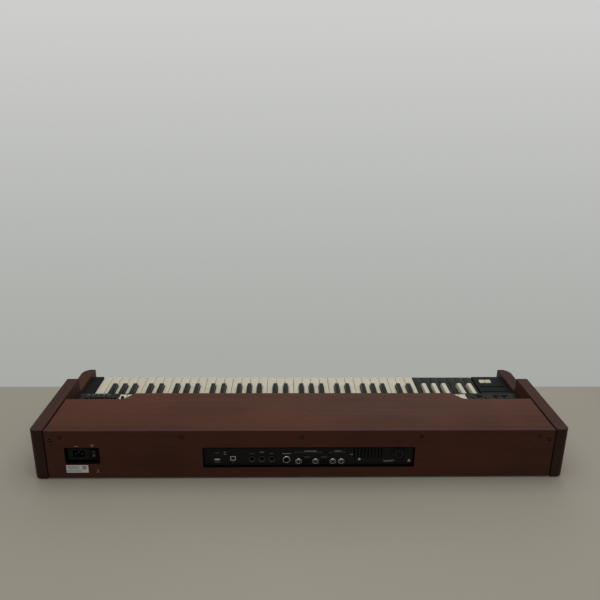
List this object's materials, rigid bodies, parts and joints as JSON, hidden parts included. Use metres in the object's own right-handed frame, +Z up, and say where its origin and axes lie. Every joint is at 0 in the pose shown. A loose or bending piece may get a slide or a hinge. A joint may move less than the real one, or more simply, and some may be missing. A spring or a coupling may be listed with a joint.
{
  "type": "tonewheel organ",
  "caption": "Portable tonewheel organ in a stained wooden case with a waterfall manual, reversed-colour preset keys, drawbars, tilting tablets, knobs and a recessed rear socket plate.",
  "frame": {"origin": "on the floor under the middle of the instrument", "axes": "+X to the player's right along the keys, -Y towards the player, +Z up"},
  "size_m": [1.18, 0.386, 0.122],
  "materials": {
    "stained_wood": "red-brown stained, satin lacquer",
    "plain_board": "unfinished brown board",
    "ivory_keys": "ivory, glossy",
    "black_keys": "black, glossy",
    "black_plastic": "black, fine texture",
    "black_panel": "black, semi-gloss",
    "black_plate": "black powder coat",
    "socket_plastic": "black",
    "knob_plastic": "black, satin",
    "grey_rubber": "grey",
    "foot_rubber": "black",
    "felt": "red felt",
    "zinc_steel": "zinc-plated sheet",
    "circuit_board": "green solder mask",
    "display_glass": "dark window"
  },
  "bodies": {
    "case": {"side_panel_left": "stained_wood", "side_panel_right": "stained_wood", "rear_panel": "stained_wood", "top_board": "stained_wood", "front_rail": "stained_wood", "base_board": "plain_board", "foot_front_left": "foot_rubber", "foot_front_right": "foot_rubber", "foot_rear_left": "foot_rubber", "foot_rear_right": "foot_rubber", "key_frame": "zinc_steel", "key_felt": "felt", "contact_board": "circuit_board", "cheek_block_left": "black_plastic", "cheek_block_right": "black_plastic", "control_panel": "black_panel", "display_window": "display_glass", "drawbar_base": "black_plastic", "jack_plate": "black_plate", "jack_board": "socket_plastic", "speaker_socket": "socket_plastic", "inlet_plate": "black_plate", "power_inlet": "socket_plastic", "power_supply": "zinc_steel", "main_board": "circuit_board"},
    "preset_naturals": {"preset_naturals": "black_keys"},
    "preset_sharps": {"preset_sharps": "ivory_keys"},
    "naturals_octave_1": {"naturals_octave_1": "ivory_keys"},
    "naturals_octave_2": {"naturals_octave_2": "ivory_keys"},
    "naturals_octave_3": {"naturals_octave_3": "ivory_keys"},
    "naturals_octave_4": {"naturals_octave_4": "ivory_keys"},
    "naturals_octave_5": {"naturals_octave_5": "ivory_keys"},
    "sharps_octave_1": {"sharps_octave_1": "black_keys"},
    "sharps_octave_2": {"sharps_octave_2": "black_keys"},
    "sharps_octave_3": {"sharps_octave_3": "black_keys"},
    "sharps_octave_4": {"sharps_octave_4": "black_keys"},
    "sharps_octave_5": {"sharps_octave_5": "black_keys"},
    "speaker_tab_1": {"speaker_tab_1": "ivory_keys"},
    "speaker_tab_2": {"speaker_tab_2": "ivory_keys"},
    "vibrato_tab_1": {"vibrato_tab_1": "ivory_keys"},
    "vibrato_tab_2": {"vibrato_tab_2": "ivory_keys"},
    "percussion_tab_1": {"percussion_tab_1": "ivory_keys"},
    "percussion_tab_2": {"percussion_tab_2": "ivory_keys"},
    "percussion_tab_3": {"percussion_tab_3": "ivory_keys"},
    "percussion_tab_4": {"percussion_tab_4": "ivory_keys"},
    "volume_knob": {"volume_knob": "knob_plastic"},
    "overdrive_knob": {"overdrive_knob": "knob_plastic"},
    "reverb_knob": {"reverb_knob": "knob_plastic"},
    "vibrato_knob": {"vibrato_knob": "knob_plastic"},
    "value_knob": {"value_knob": "knob_plastic"},
    "level_knob": {"level_knob": "knob_plastic"},
    "upper_drawbars_a": {"upper_drawbars_a": "ivory_keys"},
    "upper_drawbars_b": {"upper_drawbars_b": "ivory_keys"},
    "pedal_drawbars": {"pedal_drawbars": "ivory_keys"},
    "lower_drawbars_a": {"lower_drawbars_a": "ivory_keys"},
    "lower_drawbars_b": {"lower_drawbars_b": "ivory_keys"},
    "page_buttons": {"page_buttons": "grey_rubber"},
    "effect_buttons": {"effect_buttons": "grey_rubber"},
    "power_rocker": {"power_rocker": "socket_plastic"}
  },
  "joints": [
    {"name": "preset_naturals_press", "type": "hinge", "parent": "case", "child": "preset_naturals", "pos_m": [0, 0.008, 0.05], "axis": [1, 0, 0], "range_deg": [0, 3.1], "stiffness_Nm_per_rad": 8, "springref_deg": -8.59},
    {"name": "naturals_octave_1_press", "type": "hinge", "parent": "case", "child": "naturals_octave_1", "pos_m": [0, 0.008, 0.05], "axis": [1, 0, 0], "range_deg": [0, 3.1], "stiffness_Nm_per_rad": 8, "springref_deg": -8.59},
    {"name": "naturals_octave_2_press", "type": "hinge", "parent": "case", "child": "naturals_octave_2", "pos_m": [0, 0.008, 0.05], "axis": [1, 0, 0], "range_deg": [0, 3.1], "stiffness_Nm_per_rad": 8, "springref_deg": -8.59},
    {"name": "naturals_octave_3_press", "type": "hinge", "parent": "case", "child": "naturals_octave_3", "pos_m": [0, 0.008, 0.05], "axis": [1, 0, 0], "range_deg": [0, 3.1], "stiffness_Nm_per_rad": 8, "springref_deg": -8.59},
    {"name": "naturals_octave_4_press", "type": "hinge", "parent": "case", "child": "naturals_octave_4", "pos_m": [0, 0.008, 0.05], "axis": [1, 0, 0], "range_deg": [0, 3.1], "stiffness_Nm_per_rad": 8, "springref_deg": -8.59},
    {"name": "naturals_octave_5_press", "type": "hinge", "parent": "case", "child": "naturals_octave_5", "pos_m": [0, 0.008, 0.05], "axis": [1, 0, 0], "range_deg": [0, 3.1], "stiffness_Nm_per_rad": 8, "springref_deg": -8.59},
    {"name": "preset_sharps_press", "type": "hinge", "parent": "case", "child": "preset_sharps", "pos_m": [0, 0.028, 0.0585], "axis": [1, 0, 0], "range_deg": [0, 3.29], "stiffness_Nm_per_rad": 6, "springref_deg": -6.88},
    {"name": "sharps_octave_1_press", "type": "hinge", "parent": "case", "child": "sharps_octave_1", "pos_m": [0, 0.028, 0.0585], "axis": [1, 0, 0], "range_deg": [0, 3.29], "stiffness_Nm_per_rad": 6, "springref_deg": -6.88},
    {"name": "sharps_octave_2_press", "type": "hinge", "parent": "case", "child": "sharps_octave_2", "pos_m": [0, 0.028, 0.0585], "axis": [1, 0, 0], "range_deg": [0, 3.29], "stiffness_Nm_per_rad": 6, "springref_deg": -6.88},
    {"name": "sharps_octave_3_press", "type": "hinge", "parent": "case", "child": "sharps_octave_3", "pos_m": [0, 0.028, 0.0585], "axis": [1, 0, 0], "range_deg": [0, 3.29], "stiffness_Nm_per_rad": 6, "springref_deg": -6.88},
    {"name": "sharps_octave_4_press", "type": "hinge", "parent": "case", "child": "sharps_octave_4", "pos_m": [0, 0.028, 0.0585], "axis": [1, 0, 0], "range_deg": [0, 3.29], "stiffness_Nm_per_rad": 6, "springref_deg": -6.88},
    {"name": "sharps_octave_5_press", "type": "hinge", "parent": "case", "child": "sharps_octave_5", "pos_m": [0, 0.028, 0.0585], "axis": [1, 0, 0], "range_deg": [0, 3.29], "stiffness_Nm_per_rad": 6, "springref_deg": -6.88},
    {"name": "speaker_tab_1_rock", "type": "hinge", "parent": "case", "child": "speaker_tab_1", "pos_m": [-0.5177, -0.142, 0.072], "axis": [1, 0, 0], "range_deg": [0, 12]},
    {"name": "speaker_tab_2_rock", "type": "hinge", "parent": "case", "child": "speaker_tab_2", "pos_m": [-0.5015, -0.142, 0.072], "axis": [1, 0, 0], "range_deg": [0, 12]},
    {"name": "vibrato_tab_1_rock", "type": "hinge", "parent": "case", "child": "vibrato_tab_1", "pos_m": [-0.4152, -0.0261, 0.08618], "axis": [1, 0, 0], "range_deg": [0, 12]},
    {"name": "vibrato_tab_2_rock", "type": "hinge", "parent": "case", "child": "vibrato_tab_2", "pos_m": [-0.397, -0.0261, 0.08618], "axis": [1, 0, 0], "range_deg": [0, 12]},
    {"name": "percussion_tab_1_rock", "type": "hinge", "parent": "case", "child": "percussion_tab_1", "pos_m": [0.3889, -0.0261, 0.08618], "axis": [1, 0, 0], "range_deg": [0, 12]},
    {"name": "percussion_tab_2_rock", "type": "hinge", "parent": "case", "child": "percussion_tab_2", "pos_m": [0.4071, -0.0261, 0.08618], "axis": [1, 0, 0], "range_deg": [0, 12]},
    {"name": "percussion_tab_3_rock", "type": "hinge", "parent": "case", "child": "percussion_tab_3", "pos_m": [0.4253, -0.0261, 0.08618], "axis": [1, 0, 0], "range_deg": [0, 12]},
    {"name": "percussion_tab_4_rock", "type": "hinge", "parent": "case", "child": "percussion_tab_4", "pos_m": [0.4435, -0.0261, 0.08618], "axis": [1, 0, 0], "range_deg": [0, 12]},
    {"name": "volume_knob_turn", "type": "hinge", "parent": "case", "child": "volume_knob", "pos_m": [-0.51509, 0.00777, 0.08914], "axis": [0, -0.0872, 0.9962], "range_deg": [-150, 150]},
    {"name": "overdrive_knob_turn", "type": "hinge", "parent": "case", "child": "overdrive_knob", "pos_m": [-0.49299, 0.00777, 0.08914], "axis": [0, -0.0872, 0.9962], "range_deg": [-150, 150]},
    {"name": "reverb_knob_turn", "type": "hinge", "parent": "case", "child": "reverb_knob", "pos_m": [-0.46589, 0.00777, 0.08914], "axis": [0, -0.0872, 0.9962], "range_deg": [-150, 150]},
    {"name": "level_knob_turn", "type": "hinge", "parent": "case", "child": "level_knob", "pos_m": [0.4375, -0.00019, 0.08844], "axis": [0, -0.0872, 0.9962], "range_deg": [-150, 150]},
    {"name": "vibrato_knob_turn", "type": "hinge", "parent": "case", "child": "vibrato_knob", "pos_m": [-0.43448, 0.00777, 0.08914], "axis": [0, -0.0872, 0.9962], "range_deg": [-75, 75]},
    {"name": "value_knob_turn", "type": "hinge", "parent": "case", "child": "value_knob", "pos_m": [0.459, 0.0028, 0.08871], "axis": [0, -0.0872, 0.9962], "continuous": true},
    {"name": "upper_drawbars_a_draw", "type": "slide", "parent": "case", "child": "upper_drawbars_a", "axis": [0, -0.9962, -0.0872], "range_m": [0, 0.032]},
    {"name": "upper_drawbars_b_draw", "type": "slide", "parent": "case", "child": "upper_drawbars_b", "axis": [0, -0.9962, -0.0872], "range_m": [0, 0.032]},
    {"name": "pedal_drawbars_draw", "type": "slide", "parent": "case", "child": "pedal_drawbars", "axis": [0, -0.9962, -0.0872], "range_m": [0, 0.032]},
    {"name": "lower_drawbars_a_draw", "type": "slide", "parent": "case", "child": "lower_drawbars_a", "axis": [0, -0.9962, -0.0872], "range_m": [0, 0.032]},
    {"name": "lower_drawbars_b_draw", "type": "slide", "parent": "case", "child": "lower_drawbars_b", "axis": [0, -0.9962, -0.0872], "range_m": [0, 0.032]},
    {"name": "page_buttons_press", "type": "slide", "parent": "case", "child": "page_buttons", "axis": [0, 0.0872, -0.9962], "range_m": [0, 0.001], "stiffness_N_per_m": 400, "springref_m": -0.001},
    {"name": "effect_buttons_press", "type": "slide", "parent": "case", "child": "effect_buttons", "axis": [0, 0.0872, -0.9962], "range_m": [0, 0.001], "stiffness_N_per_m": 400, "springref_m": -0.001},
    {"name": "power_rocker_rock", "type": "hinge", "parent": "case", "child": "power_rocker", "pos_m": [0.45, 0.185, 0.0605], "axis": [1, 0, 0], "range_deg": [0, 15]}
  ]
}
